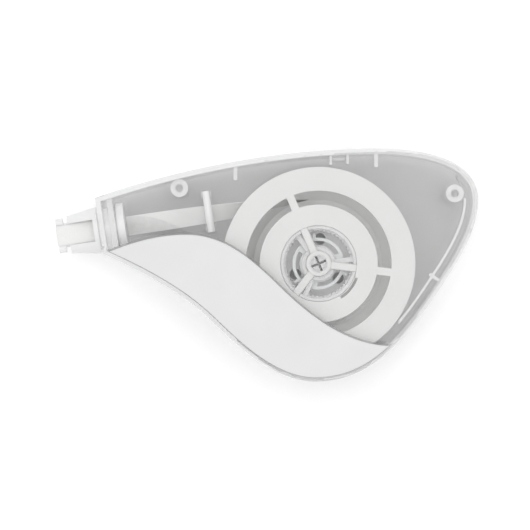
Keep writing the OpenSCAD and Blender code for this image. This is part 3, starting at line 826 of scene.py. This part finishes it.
def rear_features(case):
    """Sockets, film post, saddles, axle, neck rib and snap tab of the rear shell"""
    middle = REEL.z
    parts = []
    for x, y in PIN_PLACES:
        socket = rod(x * MM, y * MM, PIN_BOSS_R, 0, middle - BOSS_PARTING * MM)
        cut(socket, rod(x * MM, y * MM, PIN_SOCKET_R, PIN_SOCKET_LOW * MM, middle + MM, 0),
            "DIFFERENCE")
        parts.append(socket)
    post = head_point(POST_U, POST_V, 0)
    parts.append(rod(post.x, post.y, POST_R, 0, middle + POST_HIGH * MM))
    for v in SADDLE_VS:
        place = head_point(SADDLE_U, v, 0)
        saddle = bar((-SADDLE_HALF * MM, -SADDLE_WIDTH_HALF * MM, -middle),
                     (SADDLE_HALF * MM, SADDLE_WIDTH_HALF * MM, SADDLE_HIGH * MM), HEAD_TILT, place)
        cut(saddle, lying_rod(head_point(SADDLE_U, v - 2, 0), head_point(SADDLE_U, v + 2, 0),
                              SADDLE_GROOVE_R), "DIFFERENCE")
        cut(saddle, bar((-SADDLE_GROOVE_R * MM, -2 * MM, 0), (SADDLE_GROOVE_R * MM, 2 * MM, 2 * MM),
                        HEAD_TILT, place), "DIFFERENCE")
        parts.append(saddle)
    axle = lathe("axle", [(r * MM, z * MM) for r, z in AXLE_FOOT]
                 + [(r * MM, middle + z * MM) for r, z in AXLE_HEAD], 64)
    for turn in AXLE_SLOT_TURNS:
        cut(axle, bar((-3 * MM, -AXLE_SLOT_HALF * MM, 0), (3 * MM, AXLE_SLOT_HALF * MM, 6 * MM),
                      math.radians(turn), (REEL.x, REEL.y, middle + AXLE_SLOT_LOW * MM)),
            "DIFFERENCE")
    parts.append(axle)
    parts.append(neck_rib(-middle, -RIB_PARTING * MM))
    edge = top_line(SNAP_X)
    parts.append(bar(((SNAP_X - SNAP_HALF) * MM, (edge - SNAP_IN) * MM, middle + SNAP_LOW * MM),
                     ((SNAP_X + SNAP_HALF) * MM, (edge - SNAP_OUT) * MM, middle + SNAP_HIGH * MM)))
    room = front_block("room", case.wall + case.play, case.wall + case.play, 8 * MM)
    return cut(merged("rear_parts", parts), flipped(room, "rear_room"), "INTERSECT")


def share_out(shell, case):
    """Slots of a shell: 0 faces and side walls, 1 inside, 2 rim, 3 inner corner, 4 recess seam"""
    # In mm: reach in which a wall counts, tolerances, levels between which a recess floor lies
    reach, near, slack = 6, 0.1, 0.05
    floor_low, floor_high = 0.3, 1.1
    # A side wall's normal rises no more than this
    rise = 0.25
    edge = flat_face("edge", CASE_KNOTS, case.wall)
    loop = [edge.data.vertices[i].co.xy / MM for i in edge.data.polygons[0].vertices]
    bpy.data.objects.remove(edge)
    sides = list(zip(loop, loop[1:] + loop[:1]))
    for face in shell.data.polygons:
        at = face.center.xy / MM
        fall = max(0, TAPER * (TAPER_X - at.x),
                   CREASE_SLOPE * ((at - Vector(CREASE)).length - CREASE_R))
        room = (REEL.z - case.wall) / MM - fall
        level = abs(face.center.z - REEL.z) / MM
        off_wall = min(((at - intersect_point_line(at, a, b)[0].xy).length for a, b in sides
                        if (at - a).length < reach or (at - b).length < reach), default=reach)
        inside = sum((a.y > at.y) != (b.y > at.y)
                     and at.x < a.x + (at.y - a.y) * (b.x - a.x) / (b.y - a.y)
                     for a, b in sides) % 2
        # Slot 3 in inner corners and slot 4 on the recess floor in the seam carry painted shade
        if off_wall <= near:
            face.material_index = 3 if level < room - slack else 0
        elif inside and level > room - near:
            face.material_index = 4 if room + floor_low < level < room + floor_high else 0
        elif inside:
            face.material_index = 1
        else:
            face.material_index = 2 if abs(face.normal.z) > rise else 0


# Operators


class CTAPE_OT_stage(bpy.types.Operator):
    """Pale floor, soft studio light and the camera"""
    bl_idname = "ctape.stage"
    bl_label = "Stage"

    def execute(self, context):
        stage = context.scene.ctape_stage
        context.scene.view_settings.view_transform = "Standard"
        deselect()
        bpy.ops.mesh.primitive_plane_add(size=6, location=(0, 0, -0.1 * MM))
        floor = context.object
        floor.name = "floor"
        material, tree, output, place = start_material("matt_floor_paint")
        rough = spread(tree, noise(tree, place, 40), 0.85, 0.95, (0, 1))
        paint = add(tree, "ShaderNodeBsdfPrincipled", None, {
            "Base Color": (*stage.floor, 1), "Roughness": rough, "Specular IOR Level": 0.1})
        path = add(tree, "ShaderNodeLightPath")
        seen = add(tree, "ShaderNodeMath", {"operation": "MAXIMUM"}, {
            0: path.outputs["Is Camera Ray"], 1: path.outputs["Is Glossy Ray"]})
        seen = add(tree, "ShaderNodeMath", {"operation": "MAXIMUM"}, {
            0: seen.outputs[0], 1: path.outputs["Is Transmission Ray"]})
        level = add(tree, "ShaderNodeMath", {"operation": "MULTIPLY"}, {
            0: seen.outputs[0], 1: stage.glow})
        glow = add(tree, "ShaderNodeEmission", None, {
            "Color": (1, 1, 1, 1), "Strength": level.outputs[0]})
        both = add(tree, "ShaderNodeAddShader", None, {
            0: paint.outputs["BSDF"], 1: glow.outputs["Emission"]})
        tree.links.new(both.outputs["Shader"], output.inputs["Surface"])
        floor.data.materials.append(material)

        world = bpy.data.worlds.new("studio")
        context.scene.world = world
        world.use_nodes = True
        tree = world.node_tree
        tree.nodes.clear()
        path = add(tree, "ShaderNodeLightPath")
        seen = add(tree, "ShaderNodeMath", {"operation": "MAXIMUM"}, {
            0: path.outputs["Is Camera Ray"], 1: path.outputs["Is Glossy Ray"]})
        sky = add(tree, "ShaderNodeBackground", None, {
            "Color": (1, 1, 1, 1),
            "Strength": spread(tree, seen.outputs[0], stage.sky, SKY_SEEN, (0, 1))})
        output = add(tree, "ShaderNodeOutputWorld")
        tree.links.new(sky.outputs["Background"], output.inputs["Surface"])

        deselect()
        bpy.ops.object.light_add(type="AREA", location=LAMP_PLACE)
        lamp = context.object
        lamp.name = "key_lamp"
        lamp.data.shape = "DISK"
        lamp.data.size = LAMP_SIZE
        lamp.data.energy = stage.key
        aim = LAMP_AIM - lamp.location
        lamp.rotation_euler = aim.to_track_quat("-Z", "Y").to_euler()

        bpy.ops.object.camera_add(location=(0, 0, REEL.z + stage.distance), rotation=(0, 0, 0))
        camera = context.object
        camera.data.sensor_width = SENSOR
        camera.data.lens = SENSOR * stage.distance / stage.view_width
        camera.data.clip_start = 0.01
        context.scene.camera = camera
        return {"FINISHED"}


class CTAPE_OT_case(bpy.types.Operator):
    """Two clear shells with their ribs, pins and axle"""
    bl_idname = "ctape.case"
    bl_label = "Clear case"

    def execute(self, context):
        case = context.scene.ctape_case
        face = clear_polystyrene("clear_moulded_polystyrene", case.clear, haze=0.018, waves_mm=7)
        # The rear shell's greyer tint is painted shade
        shaded = clear_polystyrene("clear_rear_painted_shade", case.rear_clear_painted_shade, haze=0.08,
                                   waves_mm=7)
        # Free-standing features and the rim are milkier, so they catch more light; inner corners and
        # the seam carry painted shade: a dimmer edge reflection, and a grey tint in the seam
        extra = (clear_polystyrene("clear_rib_polystyrene", case.clear, haze=0.6, waves_mm=4),
                 clear_polystyrene("clear_rim_polystyrene", case.clear, haze=0.72, waves_mm=5),
                 clear_polystyrene("clear_corner_painted_shade", case.clear, haze=0.02, waves_mm=5,
                                   edge_tone=0.86),
                 clear_polystyrene("clear_seam_painted_shade", case.seam_painted_shade, haze=0.3, waves_mm=5,
                                   edge_tone=0.7))
        front = half_shell("front_case_look", case)
        rear = mirrored(front, "rear_case_look")
        cut(front, grip_recess(case, False), "DIFFERENCE")
        cut(rear, grip_recess(case, True), "DIFFERENCE")
        for shell, parts, clear, node in (
                (front, front_features(case), face, "front_case"),
                (rear, rear_features(case), shaded, "rear_case")):
            soften(shell, 35)
            settle(shell, clear, "case", "clear_case", node)
            for material in extra:
                shell.data.materials.append(material)
            share_out(shell, case)
            soften(parts, 35)
            parts.data.materials.clear()
            parts.data.materials.append(extra[0])
            join_into(shell, [parts])
        return {"FINISHED"}


class CTAPE_OT_grips(bpy.types.Operator):
    """Two white grip panels with rounded edges"""
    bl_idname = "ctape.grips"
    bl_label = "Grip panels"

    def execute(self, context):
        case = context.scene.ctape_case
        white = moulded_white("white_moulded_abs", case.grip, grain_mm=0.3, depth_mm=0.02,
                              rough=0.38)
        front = grip_panel("front_grip_look", case)
        rear = mirrored(front, "rear_grip_look")
        for grip, node in ((front, "front_grip"), (rear, "rear_grip")):
            apply_modifier(grip, "BEVEL", width=case.grip_edge, segments=4, limit_method="ANGLE",
                           angle_limit=math.radians(40), use_clamp_overlap=False,
                           loop_slide=False)
            soften(grip, 35)
            settle(grip, white, "case", "white_grip", node)
        return {"FINISHED"}


class CTAPE_OT_head(bpy.types.Operator):
    """Milky applicator head and the guide pin behind it"""
    bl_idname = "ctape.head"
    bl_label = "Applicator head"

    def execute(self, context):
        head = context.scene.ctape_head
        milky = natural_polypropylene("natural_polypropylene", head.natural)
        bill = refine("applicator_head", 0)
        settle(bill, milky, "head", "natural_head", "applicator_head")
        # Behind NECK_FROM the neck takes its lighter colour, painted light inside the shading case
        bill.data.materials.append(natural_polypropylene("neck_polypropylene_painted_light", head.neck))
        for face in bill.data.polygons:
            face.material_index = int((face.center - TIP).dot(HEAD_AXIS) > NECK_FROM * MM)
        bright = moulded_white("polished_acetal", head.pin, grain_mm=0.5, depth_mm=0.004,
                               rough=0.16)
        pin = refine("guide_pin", head.pin_edge)
        settle(pin, bright, "case", "natural_head", "guide_pin")
        return {"FINISHED"}


class CTAPE_OT_tape(bpy.types.Operator):
    """Tape round the head and its runs to and from the reels"""
    bl_idname = "ctape.tape"
    bl_label = "Tape runs"

    def execute(self, context):
        head = context.scene.ctape_head
        coat = correction_coat("correction_coat", head.tape)
        film = release_film("bare_release_film", head.film, haze=0.03)
        loop = refine("head_tape", 0)
        # The tape round the tip takes a darker copy of the coat, as painted shade
        settle(loop, correction_coat("tip_coat_painted_shade", head.tip_tape_painted_shade), "head", "white_tape",
               "head_tape")
        for node, material, slot in (("supply_run", coat, "white_tape"),
                                     ("return_run", film, "clear_film")):
            run = refine(node, 0)
            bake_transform(run)
            settle(run, material, None, slot, node)
        return {"FINISHED"}


class CTAPE_OT_supply(bpy.types.Operator):
    """Supply core, rear flange, wound tape and spring plate"""
    bl_idname = "ctape.supply"
    bl_label = "Supply reel"

    def execute(self, context):
        reel = context.scene.ctape_reel
        white = white_polystyrene(reel)
        coat = correction_coat("correction_coat", context.scene.ctape_head.tape)
        spring = moulded_white("acetal_spring_plate", reel.spring, grain_mm=0.4, depth_mm=0.01,
                               rough=0.3)
        # The core's lighter white is painted light in the shaded hub
        bright = moulded_white("core_polystyrene_painted_light", reel.core, grain_mm=0.4,
                               depth_mm=0.01, rough=0.32)
        for node, material in (("supply_core", bright), ("supply_flange", white)):
            settle(refine(node, reel.reel_edge), material, "supply", "white_reel", node)
        settle(refine("clutch_spring", reel.clutch_edge), spring, "supply", "white_reel",
               "clutch_spring")
        low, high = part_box("supply_tape")
        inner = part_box("supply_core")
        pack = wound("supply_tape_look", (inner[1].x - inner[0].x) / 2 + PACK_FIT * MM,
                     (high.x - low.x) / 2, low.z, high.z, pitch=reel.turn_pitch,
                     depth=0.05 * MM)
        settle(pack, coat, "supply", "white_tape", "supply_tape")
        return {"FINISHED"}


class CTAPE_OT_takeup(bpy.types.Operator):
    """Take-up disc, spool, used film and the clear clutch ring"""
    bl_idname = "ctape.takeup"
    bl_label = "Take-up reel"

    def execute(self, context):
        reel = context.scene.ctape_reel
        white = white_polystyrene(reel)
        clear = clear_polystyrene("clear_clutch_polystyrene", reel.clutch, haze=0.62, waves_mm=4)
        film = release_film("bare_release_film", context.scene.ctape_head.film, haze=0.03)
        settle(slotted_disc("takeup_disc_look", reel), white, "takeup", "white_reel",
               "takeup_disc")
        line = [(r * MM, REEL.z + z * MM) for r, z in (
            (SPOOL_BORE, SPOOL_LOW), (DISC_R, SPOOL_LOW), (DISC_R, SPOOL_FLANGE),
            (SPOOL_R, SPOOL_FLANGE), (SPOOL_R, DISC_LOW), (SPOOL_BORE, DISC_LOW),
            (SPOOL_BORE, SPOOL_LOW))]
        spool = round_edges(lathe("takeup_spool_look", line, 160), reel.clutch_edge)
        settle(spool, white, "takeup", "white_reel", "takeup_spool")
        settle(refine("clutch_ring", reel.clutch_edge), clear, "takeup", "clear_clutch",
               "clutch_ring")
        low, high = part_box("takeup_film")
        outer = (high.x - low.x) / 2
        used = wound("takeup_film_look", outer - FILM_BUILD * MM, outer, low.z, high.z,
                     pitch=0.1 * MM, depth=0.03 * MM)
        settle(used, film, "takeup", "clear_film", "takeup_film")
        return {"FINISHED"}


class CTAPE_PT_panel(bpy.types.Panel):
    """Steps of the correction tape, in order"""
    bl_label = "Correction tape"
    bl_idname = "CTAPE_PT_panel"
    bl_space_type = "VIEW_3D"
    bl_region_type = "UI"
    bl_category = "Correction tape"

    def draw(self, context):
        for step in STEPS:
            self.layout.operator(step.bl_idname)
        for group in GROUPS:
            settings = getattr(context.scene, group)
            for key in settings.bl_rna.properties.keys():
                if key not in ("rna_type", "name"):
                    self.layout.prop(settings, key)


GROUPS = {"ctape_case": CaseSettings, "ctape_head": HeadSettings, "ctape_reel": ReelSettings,
          "ctape_stage": StageSettings}
STEPS = (CTAPE_OT_stage, CTAPE_OT_case, CTAPE_OT_grips, CTAPE_OT_head, CTAPE_OT_tape,
         CTAPE_OT_supply, CTAPE_OT_takeup)
CLASSES = (*GROUPS.values(), *STEPS, CTAPE_PT_panel)


def register():
    for kind in CLASSES:
        bpy.utils.register_class(kind)
    for group, kind in GROUPS.items():
        setattr(bpy.types.Scene, group, bpy.props.PointerProperty(type=kind))


def unregister():
    for group in GROUPS:
        delattr(bpy.types.Scene, group)
    for kind in reversed(CLASSES):
        bpy.utils.unregister_class(kind)


def main():
    register()
    bpy.ops.ctape.stage()
    bpy.ops.ctape.case()
    bpy.ops.ctape.grips()
    bpy.ops.ctape.head()
    bpy.ops.ctape.tape()
    bpy.ops.ctape.supply()
    bpy.ops.ctape.takeup()
    deselect()


if __name__ == "__main__":
    main()
